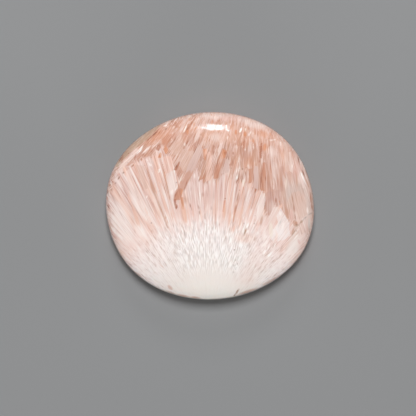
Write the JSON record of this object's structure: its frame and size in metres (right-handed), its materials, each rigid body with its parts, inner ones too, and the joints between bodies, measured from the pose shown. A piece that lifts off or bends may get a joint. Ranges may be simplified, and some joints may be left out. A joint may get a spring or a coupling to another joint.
{
  "type": "scolecite cabochon",
  "caption": "Polished oval scolecite stone with a flat bevelled back, a low girdle and a full domed face, to lie loose or be set in a bezel.",
  "frame": {"origin": "on the flat back, under the middle of the stone's outline", "axes": "+Z out of the domed face, +X along the longer side of the outline, +Y towards the peach end of the crystals"},
  "size_m": [0.04, 0.036, 0.009],
  "materials": {
    "polished_scolecite": "high polish, translucent fibrous stone, peach shading to cream white"
  },
  "bodies": {
    "root": {"cabochon": "polished_scolecite"}
  },
  "joints": []
}
